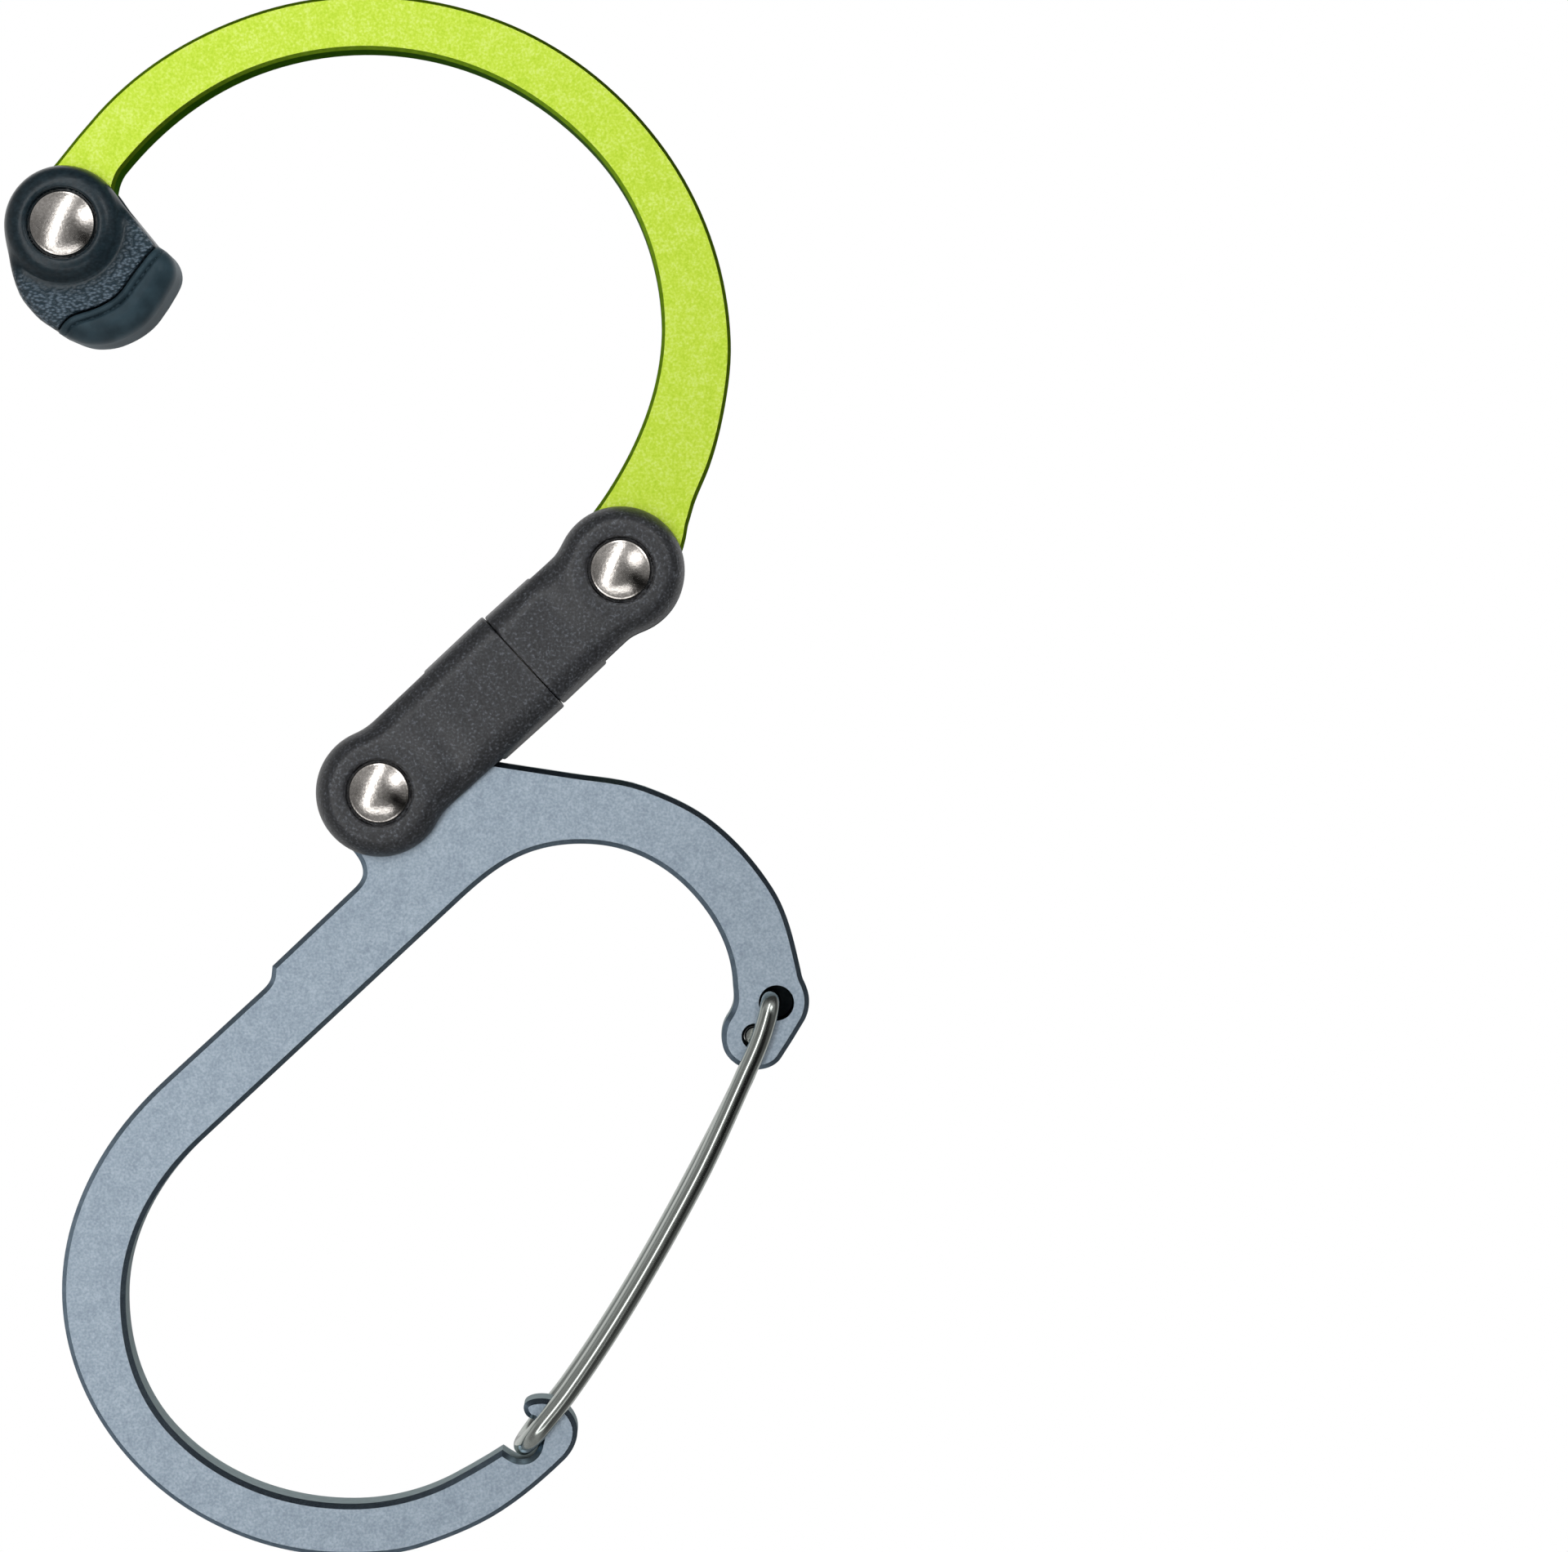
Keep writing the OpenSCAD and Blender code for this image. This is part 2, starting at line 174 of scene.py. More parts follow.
# Outlines: a path is a list of nodes (x, z, heading), or (x, z, heading in, heading out) at a corner
def turn(a, b):
    """The turn from heading a to heading b, between -180 and 180 degrees."""
    return (b - a + 900) % 360 - 180


def on_circle(centre, r, angle):
    """A node on a circle that the path follows clockwise."""
    x, z = np.asarray(centre) + r * ray(angle)
    return (x, z, angle - 90)


def stretch(m, n, step):
    """Points from node m up to, but not with, node n, on a circular arc where its ends are even."""
    p, q = np.array(m[:2]), np.array(n[:2])
    leave, arrive = m[-1], n[2]
    chord = float(np.linalg.norm(q - p))
    along = math.degrees(math.atan2(q[1] - p[1], q[0] - p[0]))
    bend = math.radians(turn(leave, arrive))
    reach = chord / 3 if abs(bend) < 0.002 else chord * 2 / 3 * math.tan(bend / 4) / math.sin(bend / 2)
    swing = abs(turn(leave, along)) + abs(turn(along, arrive))
    count = max(1, math.ceil(swing / step))
    t = (np.arange(count) / count)[:, None]
    start, end = p + reach * ray(leave), q - reach * ray(arrive)
    return (1 - t) ** 3 * p + 3 * t * (1 - t) ** 2 * start + 3 * t * t * (1 - t) * end + t**3 * q


def closed_path(nodes, step):
    return np.concatenate([stretch(m, n, step) for m, n in zip(nodes, nodes[1:] + nodes[:1])])


def circle(centre, r, count=96):
    return np.array([np.asarray(centre) + r * ray(360 * i / count) for i in range(count)])


HOOK_NODES = [
    on_circle(FOOT_PIVOT, EYE_R, 180), on_circle(FOOT_PIVOT, EYE_R, 140),
    (-38, -13.6, 52), (-33.1, -7.7, 48), (-14.3, 4.4, 19), (14.8, 4.2, -19), (35.6, -11, -52.5),
    (44.5, -35.7, -88), (43.8, -43.5, -100), (41.9, -50.9, -110), (39.7, -56.6, -103), (39.2, -58.5, -97),
    on_circle(HOOK_PIVOT, EYE_R, -20), on_circle(HOOK_PIVOT, EYE_R, -90), on_circle(HOOK_PIVOT, EYE_R, 180),
    (27.7, -56.5, 53), (31.6, -50.3, 62), (36, -32.6, 93), (27.9, -12.6, 132), (9.5, -1.2, 165),
    (-12.1, -1.8, 198), (-30, -14.5, 231), (-31.1, -17.5, 266),
    on_circle(FOOT_PIVOT, EYE_R, 0), on_circle(FOOT_PIVOT, EYE_R, -90),
]
SHOULDER_NODES = [
    on_circle(LINK_PIVOT, LUG_R, 81.3), (25, -88.6, -8.7), (33.9, -90.2, -20),
    (42.3, -94.5, -38), (49.6, -102.6, -57), (53, -112.4, -77),
]
GATE_LUG_NODES = [
    (53.4, -113.9, -64), (54.1, -116.3, -88), (53.5, -118.9, -119), (50.7, -123.4, -122), (47.5, -124.9, 180),
    (44, -123.1, 125), (43.4, -120.7, 88), (44.1, -118.4, 57), (44.9, -116.4, 85),
]
INSIDE_NODES = [
    (44.8, -114.4, 93), (39.1, -102.6, 135), (28, -97.3, 175), (20, -98.2, 199), (11.5, -103.9, 222.6),
    (-20.3, -133.5, 222.6), (-29.7, -152.9, 270), (-24.1, -168.8, 312), (-2, -178.1, 0), (10.7, -174.9, 28.5),
]
NOSE_NODES = [
    (16.5, -171.5, 33, -35), (17.9, -172.4, -28), (19.1, -172.6, 3), (20.9, -171, 78), (21.2, -169.2, 92),
    (20.2, -167.7, 170), (19.1, -166.4, 95), (20.8, -165.2, 5), (24, -166.1, -38), (25.7, -169.2, -90),
]
OUTSIDE_NODES = [
    (24, -172.8, 224), (16.4, -179, 213), (6.9, -183.3, 199), (-2.6, -184.5, 180), (-14.1, -182.6, 161),
    (-26.5, -175.4, 138), (-37.5, -151.9, 90), (-30.8, -132.7, 54), (-24.5, -125.8, 42.6),
    (-13.2, -115.4, 42.6), (-11.8, -113.3, 85), (-11.7, -112.2, 88, 42.6), (-1.9, -102.9, 42.6),
    (-0.6, -100.6, 93), (-1.9, -98.0, 131), on_circle(LINK_PIVOT, LUG_R, 195),
    on_circle(LINK_PIVOT, LUG_R, 150), on_circle(LINK_PIVOT, LUG_R, 90),
]
CARABINER_NODES = SHOULDER_NODES + GATE_LUG_NODES + INSIDE_NODES + NOSE_NODES + OUTSIDE_NODES

# The foot's outline and the seam between its core and sole, measured from its pivot
FOOT_NODES = [
    on_circle((0, 0), FOOT_BOSS_R, 42), (11.3, -2.5, -48), (12.3, -3.2, -38), (13.6, -5.8, -90),
    (12.9, -7.8, -118), (10.9, -10.9, -126), (6.3, -14.1, -160), (3.6, -14.5, 180), (1.1, -13.9, 156),
    (-0.8, -13, 144), (-3.5, -11, 131), (-5.4, -8.5, 115), (-6.8, -3.7, 99), (-7.2, 0, 90),
    on_circle((0, 0), FOOT_BOSS_R, 90),
]
SEAM_NODES = [
    (13.2, -0.2, 231), (11.3, -2.5, 231), (8.5, -6.2, 232), (6.6, -8.7, 222), (4.3, -10.1, 205),
    (1.6, -11, 200), (-0.1, -12.2, 228), (-2.8, -15.2, 228),
]

# The sole's side of the seam, closed well outside the foot
SOLE_SIDE = np.concatenate(
    [stretch(m, n, SEAM_TURN) for m, n in zip(SEAM_NODES, SEAM_NODES[1:])]
    + [np.array(((-2.8, -15.2), (-2.8, -30), (30, -30), (30, 16)))]
)


# Materials
def linear(hex_colour):
    """An sRGB hex colour as linear red, green, blue and alpha."""
    parts = [int(hex_colour[i:i + 2], 16) / 255 for i in (1, 3, 5)]
    return [c / 12.92 if c <= 0.04045 else ((c + 0.055) / 1.055) ** 2.4 for c in parts] + [1.0]


def per_metre(size_mm):
    """The texture scale that makes a pattern's cells about that size."""
    return 1 / (size_mm * MM)


def add(tree, kind, values=None, **settings):
    """Adds a node with its settings, and gives each named input a value or a link."""
    made = tree.nodes.new(kind)
    for key, value in settings.items():
        setattr(made, key, value)
    for key, value in (values or {}).items():
        if isinstance(value, bpy.types.NodeSocket):
            tree.links.new(value, made.inputs[key])
        else:
            made.inputs[key].default_value = value
    return made


def ramp(tree, source, stops):
    """A colour ramp fed by source, with (position, hex colour) stops."""
    made = add(tree, "ShaderNodeValToRGB", {"Fac": source})
    band = made.color_ramp
    while len(band.elements) < len(stops):
        band.elements.new(0.5)
    for element, (position, colour) in zip(band.elements, stops):
        element.position = position
        element.color = linear(colour)
    return made.outputs["Color"]


def noise(tree, place, size_mm, detail):
    """A cloudy pattern with cells of about that size."""
    values = {"Vector": place, "Scale": per_metre(size_mm), "Detail": detail}
    return add(tree, "ShaderNodeTexNoise", values).outputs["Fac"]


def bump(tree, height, strength, depth_mm, invert=False):
    """The normal of a surface that has a pattern for its height."""
    values = {"Height": height, "Strength": strength, "Distance": depth_mm * MM}
    return add(tree, "ShaderNodeBump", values, invert=invert).outputs["Normal"]


def laid_along(tree, place, angle, scale):
    """Places turned about Y by an angle in degrees, then scaled along each axis."""
    level = add(tree, "ShaderNodeMapping", {"Vector": place, "Rotation": (0, math.radians(angle), 0)})
    scaled = add(tree, "ShaderNodeMapping", {"Vector": level.outputs["Vector"], "Scale": scale})
    return scaled.outputs["Vector"]


def start_material(name):
    made = bpy.data.materials.new(name)
    made.use_nodes = True
    tree = made.node_tree
    tree.nodes.clear()
    place = add(tree, "ShaderNodeTexCoord").outputs["Object"]
    return made, tree, place


def end_material(tree, values):
    shader = add(tree, "ShaderNodeBsdfPrincipled", values)
    add(tree, "ShaderNodeOutputMaterial", {"Surface": shader.outputs["BSDF"]})


# Aluminium sheet, blasted with fine grit and then dyed in the anodising bath:
# matt, with a salt-and-pepper grain.
# The grit is near 0.1 mm, and is drawn at 0.3 mm so that it shows.
def blasted_anodised_aluminium(name, dark, mid, light, roughness):
    made, tree, place = start_material(name)
    grit = noise(tree, place, 0.3, 2.0)
    cloud = noise(tree, place, 1.6, 2.0)
    shade = add(tree, "ShaderNodeMath", {0: cloud, 1: 0.3}, operation="MULTIPLY").outputs[0]
    level = add(tree, "ShaderNodeMath", {0: grit, 1: 0.7, 2: shade}, operation="MULTIPLY_ADD").outputs[0]
    colour = ramp(tree, level, [(0.3, dark), (0.5, mid), (0.7, light)])
    normal = bump(tree, grit, 0.12, 0.05)
    end_material(tree, {"Base Color": colour, "Metallic": 1.0, "Roughness": roughness, "Normal": normal})
    return made


# The same sheet where the cutter left bevels, walls and bores: smoother. The colours given below are darker
# on the bevels and the lime walls as painted shade, and darkest in the bores as painted shade inside them.
def milled_anodised_aluminium(name, dark, light, grazing, roughness):
    made, tree, place = start_material(name)
    marks = noise(tree, place, 0.8, 2.0)
    colour = ramp(tree, marks, [(0.35, dark), (0.65, light)])
    end_material(tree, {
        "Base Color": colour, "Metallic": 1.0, "Roughness": roughness, "Specular Tint": linear(grazing)})
    return made


# Glass-filled nylon, moulded in a spark-eroded tool:
# charcoal, satin, with a fine grain, and a mottle whose pale specks are painted glints of light.
# The grain is near 0.15 mm, and is drawn at 0.4 mm so that it shows.
def moulded_glass_filled_nylon():
    made, tree, place = start_material("moulded_glass_filled_nylon")
    grain = noise(tree, place, 0.4, 3.0)
    # A mottle of tones whose palest specks are painted glints of light.
    mottle_and_painted_glints = noise(tree, place, 0.3, 1.0)
    colour = ramp(tree, mottle_and_painted_glints, [(0.3, "#1C1D1F"), (0.5, "#2B2C2F"), (0.62, "#3A3C40"), (0.75, "#5C6066")])
    normal = bump(tree, grain, 0.5, 0.06)
    end_material(tree, {"Base Color": colour, "Roughness": 0.4, "IOR": 1.53, "Normal": normal})
    return made


# Hard nylon of the foot's core, moulded with a leather-like grain on its two faces, below the smooth boss:
# blue-black and satin, with the tops of the grain's cells painted paler as glints of light,
# and the core next to the boss left dark as a band of painted shade.
# The cells are about 0.34 mm high, and longer across.
def moulded_grained_nylon():
    made, tree, place = start_material("moulded_grained_nylon")
    pivot = (FOOT_PIVOT[0] * MM, 0, FOOT_PIVOT[1] * MM)
    away = add(tree, "ShaderNodeVectorMath", {0: place, 1: pivot}, operation="SUBTRACT").outputs["Vector"]
    flat = add(tree, "ShaderNodeVectorMath", {0: away, 1: (1, 0, 1)}, operation="MULTIPLY").outputs["Vector"]
    reach = add(tree, "ShaderNodeVectorMath", {0: flat}, operation="LENGTH").outputs["Value"]
    # Out to 9.2 mm from the pivot the core keeps the dark smooth colour: a band of painted shade round the
    # boss.
    beyond_ring_shade = add(
        tree, "ShaderNodeMapRange",
        {"Value": reach, "From Min": 7.6 * MM, "From Max": 9.2 * MM, "To Min": 0.04, "To Max": 1.0})
    axes = add(tree, "ShaderNodeSeparateXYZ", {0: place}).outputs
    depth = add(tree, "ShaderNodeMath", {0: axes["Y"]}, operation="ABSOLUTE").outputs[0]
    on_face = add(
        tree, "ShaderNodeMapRange",
        {"Value": depth, "From Min": 4.0 * MM, "From Max": 4.7 * MM, "To Min": 0.1})
    # Where the grain and its painted glints show: off the boss and its band of painted shade, and on the
    # faces.
    grain_and_painted_glints = add(
        tree, "ShaderNodeMath", {0: beyond_ring_shade.outputs["Result"], 1: on_face.outputs["Result"]},
        operation="MULTIPLY").outputs[0]
    stretched = add(tree, "ShaderNodeMapping", {"Vector": place, "Scale": (0.6, 1, 1)}).outputs["Vector"]
    cells = add(
        tree, "ShaderNodeTexVoronoi", {"Vector": stretched, "Scale": per_metre(0.34), "Smoothness": 0.4},
        feature="SMOOTH_F1").outputs["Distance"]
    dust = noise(tree, place, 0.7, 2.0)
    smooth = ramp(tree, dust, [(0.35, "#142026"), (0.65, "#1C2B32")])
    # The cells' colours, palest at their tops, are painted glints of light.
    painted_glint_tops = ramp(tree, cells, [(0.1, "#7C8D9C"), (0.6, "#30404A")])
    colour = add(tree, "ShaderNodeMix", {"Factor": grain_and_painted_glints, "A": smooth, "B": painted_glint_tops}, data_type="RGBA")
    normal = bump(tree, cells, grain_and_painted_glints, 0.4, invert=True)
    end_material(tree, {
        "Base Color": colour.outputs["Result"], "Roughness": 0.28, "Specular IOR Level": 0.3,
        "Normal": normal})
    return made


# Thermoplastic rubber of the foot's sole, moulded in a polished tool: blue-black, smooth, with a soft sheen.
def moulded_rubber():
    made, tree, place = start_material("moulded_rubber")
    bloom = noise(tree, place, 2.5, 4.0)
    pores = noise(tree, place, 0.3, 2.0)
    colour = ramp(tree, bloom, [(0.35, "#26363E"), (0.65, "#33454E")])
    normal = bump(tree, pores, 0.1, 0.05)
    end_material(tree, {"Base Color": colour, "Roughness": 0.4, "Specular IOR Level": 0.2, "Normal": normal})
    return made


# Nickel-plated rivet heads, barrel polished: bright, with a mottle of fine dents and scuffs near 0.3 mm.
def polished_nickel_plate():
    made, tree, place = start_material("polished_nickel_plate")
    scuffs = noise(tree, place, 0.3, 3.0)
    patches = noise(tree, place, 2.0, 2.0)
    colour = ramp(tree, scuffs, [(0.3, "#ABA6A1"), (0.7, "#CCC7C2")])
    gloss = add(
        tree, "ShaderNodeMapRange",
        {"Value": patches, "From Min": 0.3, "From Max": 0.7, "To Min": 0.1, "To Max": 0.18})
    normal = bump(tree, scuffs, 0.24, 0.05)
    end_material(tree, {
        "Base Color": colour, "Metallic": 1.0, "Roughness": gloss.outputs["Result"], "Normal": normal})
    return made


# Stainless spring wire, drawn through a die: bright, with faint lines along its length.
# The lines are near 0.05 mm apart, and are drawn at 0.2 mm so that they show.
def drawn_stainless_wire():
    made, tree, place = start_material("drawn_stainless_wire")
    lines = noise(tree, laid_along(tree, place, GATE_SLANT, (0.03, 1, 1)), 0.2, 2.0)
    colour = ramp(tree, lines, [(0.3, "#ACB1AC"), (0.7, "#BCC1BC")])
    end_material(tree, {"Base Color": colour, "Metallic": 1.0, "Roughness": 0.15})
    return made


# Turned free-cutting steel of the hidden swivel pin: grey, with fine tool rings along the pin.
def turned_steel():
    made, tree, place = start_material("turned_steel")
    rings = noise(tree, laid_along(tree, place, LINK_ANGLE, (1, 0.02, 0.02)), 0.4, 2.0)
    colour = ramp(tree, rings, [(0.3, "#8A8A8A"), (0.7, "#A8A8A8")])
    end_material(tree, {"Base Color": colour, "Metallic": 1.0, "Roughness": 0.35})
    return made


# Plain nylon washers, punched from sheet: milky white and waxy.
def punched_nylon():
    made, tree, place = start_material("punched_nylon")
    milk = noise(tree, place, 1.5, 3.0)
    colour = ramp(tree, milk, [(0.3, "#DDD8CA"), (0.7, "#E8E4D8")])
    end_material(tree, {"Base Color": colour, "Roughness": 0.4, "IOR": 1.53})
    return made


lime_face = blasted_anodised_aluminium(
    "blasted_lime_anodised_aluminium", "#B4D53A", "#C7E04D", "#D8EA7E", 0.5)
# Lime bevels and walls are darker than the faces: painted shade along the edges.
lime_bevel_painted_shade = milled_anodised_aluminium("milled_lime_anodised_bevel_painted_shade", "#7EA822", "#8EB82C", "#94BC34", 0.3)
lime_wall_painted_shade = milled_anodised_aluminium("milled_lime_anodised_wall_painted_shade", "#4C6C12", "#5C7C1A", "#648420", 0.4)
# The lime bores are near black: painted shade inside them.
lime_bore_painted_shade = milled_anodised_aluminium("drilled_lime_anodised_bore_painted_shade", "#2C3A0C", "#384810", "#384810", 0.4)
grey_face = blasted_anodised_aluminium(
    "blasted_grey_anodised_aluminium", "#8E9CAA", "#A0AEBB", "#B4C1CC", 0.5)
# Grey bevels are darker than the faces: painted shade along the edges.
grey_bevel_painted_shade = milled_anodised_aluminium("milled_grey_anodised_bevel_painted_shade", "#748492", "#8292A0", "#8A9AA8", 0.25)
grey_wall = milled_anodised_aluminium("milled_grey_anodised_wall", "#98A4A6", "#A4B0B2", "#C0C8CA", 0.4)
# The grey bores are near black: painted shade inside them.
grey_bore_painted_shade = milled_anodised_aluminium("drilled_grey_anodised_bore_painted_shade", "#1A1F22", "#24292C", "#24292C", 0.4)
link_nylon = moulded_glass_filled_nylon()
core_nylon = moulded_grained_nylon()
sole_rubber = moulded_rubber()
rivet_nickel = polished_nickel_plate()
gate_steel = drawn_stainless_wire()
pin_steel = turned_steel()
washer_nylon = punched_nylon()


# Making pieces
def make_piece(name, mesh, materials, body, node, sharp_angle):
    """A piece that rides on a body and stands for one solid of the part."""
    mesh.name = name
    for material in materials:
        mesh.materials.append(material)
    mesh.shade_smooth()
    mesh.set_sharp_from_angle(angle=math.radians(sharp_angle))
    piece = bpy.data.objects.new(name, mesh)
    bpy.context.scene.collection.objects.link(piece)
    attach(piece, body)
    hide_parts(node)


def mesh_of(points, faces):
    mesh = bpy.data.meshes.new("piece")
    mesh.from_pydata((np.asarray(points) * MM).tolist(), [], [tuple(f) for f in faces])
    mesh.update()
    return mesh


# Bevelled plates
def inset(loop, gap):
    """A counter-clockwise loop moved inwards by gap, with mitred corners that are cut short if sharp."""
    before, after = np.roll(loop, 1, 0), np.roll(loop, -1, 0)
    first, second = loop - before, after - loop
    first /= np.linalg.norm(first, axis=1)[:, None]
    second /= np.linalg.norm(second, axis=1)[:, None]
    sides = [np.stack((-e[:, 1], e[:, 0]), 1) for e in (first, second)]
    open_by = np.maximum(1 + (sides[0] * sides[1]).sum(1), MITRE_LEAST)
    return loop + gap * (sides[0] + sides[1]) / open_by[:, None]


def counter_clockwise(loop):
    x, z = loop[:, 0], loop[:, 1]
    area = (x * np.roll(z, -1) - np.roll(x, -1) * z).sum()
    return loop if area > 0 else loop[::-1].copy()


BEVEL, WALL, BORE = 1, 2, 3


def plate_mesh(nodes, bores, rim_bevel):
    """A flat plate with bevelled rims, and bores of (centre, radius, bevel, depth or None)."""
    half = PLATE_T / 2
    loops = [(counter_clockwise(closed_path(nodes, PLATE_TURN)), rim_bevel, None)]
    loops += [(circle(centre, r), -bevel, depth) for centre, r, bevel, depth in bores]
    made = bmesh.new()
    rims = ([], [])
    for loop, bevel, depth in loops:
        edge = inset(loop, bevel)
        deep = half - abs(bevel)
        rings = [(edge, -half), (loop, -deep)]
        rings += [(loop, deep), (edge, half)] if depth is None else [(loop, depth - half)]
        rows = [[made.verts.new((x * MM, y * MM, z * MM)) for x, z in ring] for ring, y in rings]
        kinds = (BEVEL, WALL, BEVEL) if bevel > 0 else (BORE, BORE, BORE)
        for upper, lower, kind in zip(rows, rows[1:], kinds):
            for i in range(len(upper)):
                made.faces.new((upper[i - 1], upper[i], lower[i], lower[i - 1])).material_index = kind
        if depth is not None:
            made.faces.new(rows[-1]).material_index = BORE
        for rim, row in zip(rims, (rows[0], rows[-1]) if depth is None else (rows[0],)):
            rim += [made.edges.get((row[i - 1], row[i])) for i in range(len(row))]
    for rim in rims:
        bmesh.ops.triangle_fill(made, use_beauty=True, edges=rim)
    bmesh.ops.recalc_face_normals(made, faces=made.faces)
    mesh = bpy.data.meshes.new("plate")
    made.to_mesh(mesh)
    made.free()
    return mesh


HOOK_BORES = [(centre, PIVOT_BORE_R, BORE_BEVEL, None) for centre in (HOOK_PIVOT, FOOT_PIVOT)]
make_piece(
    "hook_plate", plate_mesh(HOOK_NODES, HOOK_BORES, HOOK_BEVEL),
    [lime_face, lime_bevel_painted_shade, lime_wall_painted_shade, lime_bore_painted_shade], "hook", "hook_arm", sharp_angle=25)

CARABINER_BORES = [
    (LINK_PIVOT, PIVOT_BORE_R, BORE_BEVEL, None),
    (GATE_PIVOT + HOLE_GAP * ray(HOLE_ANGLE), FRONT_HOLE_R, BORE_BEVEL, FRONT_HOLE_D),
    (GATE_PIVOT, BACK_HOLE_R, BACK_HOLE_SINK, None),
]
make_piece(
    "carabiner_plate", plate_mesh(CARABINER_NODES, CARABINER_BORES, FRAME_BEVEL),
    [grey_face, grey_bevel_painted_shade, grey_wall, grey_bore_painted_shade], "carabiner", "carabiner_frame",
    sharp_angle=25)


# Wire gate: the nodes of its two legs, and then stations of (x, y, z, heading, tilt) along the wire
# A tilt of 0 runs along the heading, and one of 90 towards the back
LEG_NODES = [(39.9, -138.9, 242), (24.8, -163.9, 234.5), (*GATE_LEG_END, GATE_NOSE_HEADING)]
FRONT_LEG_HEADING = 257
FRONT_LEG_NODE = (47, -123.6, 245.5)
BACK_LEG_HEADING = 268
BACK_LEG_NODE = (46.1, -126.8, 244)


def half_gate(side, hole, stop_y, heading, first_node):
    """The wire end in its hole, the bend out of it and the leg, for the leg at depth side * LEG_Y."""
    x, z = hole
    base = 180 if side > 0 else 0
    stations = [(x, stop_y, z, heading, base + side * 90)]
    for a in np.linspace(0, 90, 9):
        out = WIRE_BEND_R * (1 - math.cos(math.radians(a)))
        y = side * (LEG_Y - WIRE_BEND_R * (1 - math.sin(math.radians(a))))
        px, pz = np.array((x, z)) + out * ray(heading)
        stations.append((px, y, pz, heading, base + side * (90 - a)))
    start = np.array((x, z)) + WIRE_BEND_R * ray(heading)
    route = [(*start, heading), first_node] + LEG_NODES
    for m, n in zip(route, route[1:]):
        leg = np.vstack((stretch(m, n, LEG_TURN), np.array(n[:2])))
        for i, (px, pz) in enumerate(leg[1:], 1):
            stations.append((px, side * LEG_Y, pz, m[2] + turn(m[2], n[2]) * i / (len(leg) - 1), base))
    return stations


def nose_bend():
    """The half turn at the gate's nose, between the ends of its two legs."""
    stations = []
    for a in np.linspace(0, 180, 25)[1:-1]:
        out = LEG_Y * math.sin(math.radians(a)) * ray(GATE_NOSE_HEADING)
        y = -LEG_Y * math.cos(math.radians(a))
        x, z = GATE_LEG_END + out
        stations.append((x, y, z, GATE_NOSE_HEADING, a))
    return stations


def wire_mesh(stations, sides=28, end_bevel=0.15):
    """A round wire along the stations, with a small bevel at both cut ends."""
    rings = []
    for x, y, z, heading, tilt in stations:
        h, t = math.radians(heading), math.radians(tilt)
        across = np.array((-math.sin(h), 0, math.cos(h)))
        over = np.array((-math.sin(t) * math.cos(h), math.cos(t), -math.sin(t) * math.sin(h)))
        angles = np.arange(sides)[:, None] * 2 * math.pi / sides
        rings.append(np.array((x, y, z)) + WIRE_R * (np.cos(angles) * across + np.sin(angles) * over))
    for at, inner in ((0, 1), (-1, -2)):
        middle = rings[at].mean(0)
        away = (middle - rings[inner].mean(0)) / np.linalg.norm(middle - rings[inner].mean(0))
        cap = middle + (rings[at] - middle) * (1 - end_bevel / WIRE_R)
        rings[at] = rings[at] - away * end_bevel
        rings = [cap] + rings if at == 0 else rings + [cap]
    faces = []
    for i in range(len(rings) - 1):
        for k in range(sides):
            n = (k + 1) % sides
            faces.append((i * sides + k, i * sides + n, (i + 1) * sides + n, (i + 1) * sides + k))
    faces.append(tuple(range(sides - 1, -1, -1)))
    faces.append(tuple((len(rings) - 1) * sides + k for k in range(sides)))
    return mesh_of(np.concatenate(rings), faces)


front_pin = GATE_PIVOT + HOLE_GAP * ray(GATE_REST_ANGLE)
front_stop = FRONT_HOLE_D - PLATE_T / 2 - FRONT_END_GAP
back_stop = BACK_END_GAP - PLATE_T / 2
front_half = half_gate(-1, front_pin, front_stop, FRONT_LEG_HEADING, FRONT_LEG_NODE)
back_half = half_gate(1, GATE_PIVOT, back_stop, BACK_LEG_HEADING, BACK_LEG_NODE)
make_piece(
    "gate_wire", wire_mesh(front_half + nose_bend() + back_half[::-1]),
    [gate_steel], "gate", "wire_gate", sharp_angle=35)


# Turned rivets
def turned_mesh(profile, centre, sides=96):
    """A shape turned about Y through centre, from (radius, y) points that start and end on the axis."""
    points, faces, rows = [], [], []
    for r, y in profile:
        count = 1 if r == 0 else sides
        rows.append(list(range(len(points), len(points) + count)))
        for i in range(count):
            x, z = np.asarray(centre) + r * ray(360 * i / sides)
            points.append((x, y, z))
    for a, b in zip(rows, rows[1:]):
        for i in range(sides):
            j = (i + 1) % sides
            corners = [a[i % len(a)], a[j % len(a)], b[j % len(b)], b[i % len(b)]]
            faces.append(tuple(dict.fromkeys(corners)))
    return mesh_of(points, faces)


def rivet_profile(boss_half, head_r, side, shank_end):
    """A domed head on the given side, and its shank up to shank_end."""
    seat = boss_half - RECESS_D
    dome_r = (head_r**2 + DOME_RISE**2) / (2 * DOME_RISE)
    flat = head_r - HEAD_RIM
    points = [(0, seat + HEAD_H)]
    for r in np.linspace(0, flat, 25)[1:]:
        points.append((r, seat + HEAD_H - dome_r + math.sqrt(dome_r**2 - r**2)))
    top = points[-1][1]
    for a in np.radians(np.linspace(20, 90, 6)):
        points.append((flat + HEAD_RIM * math.sin(a), top - HEAD_RIM * (1 - math.cos(a))))
    shank_r = RIVET_R if side < 0 else SPIGOT_R
    points += [(head_r, seat), (shank_r, seat), (shank_r, shank_end), (0, shank_end)]
    return [(r, side * y) for r, y in points]


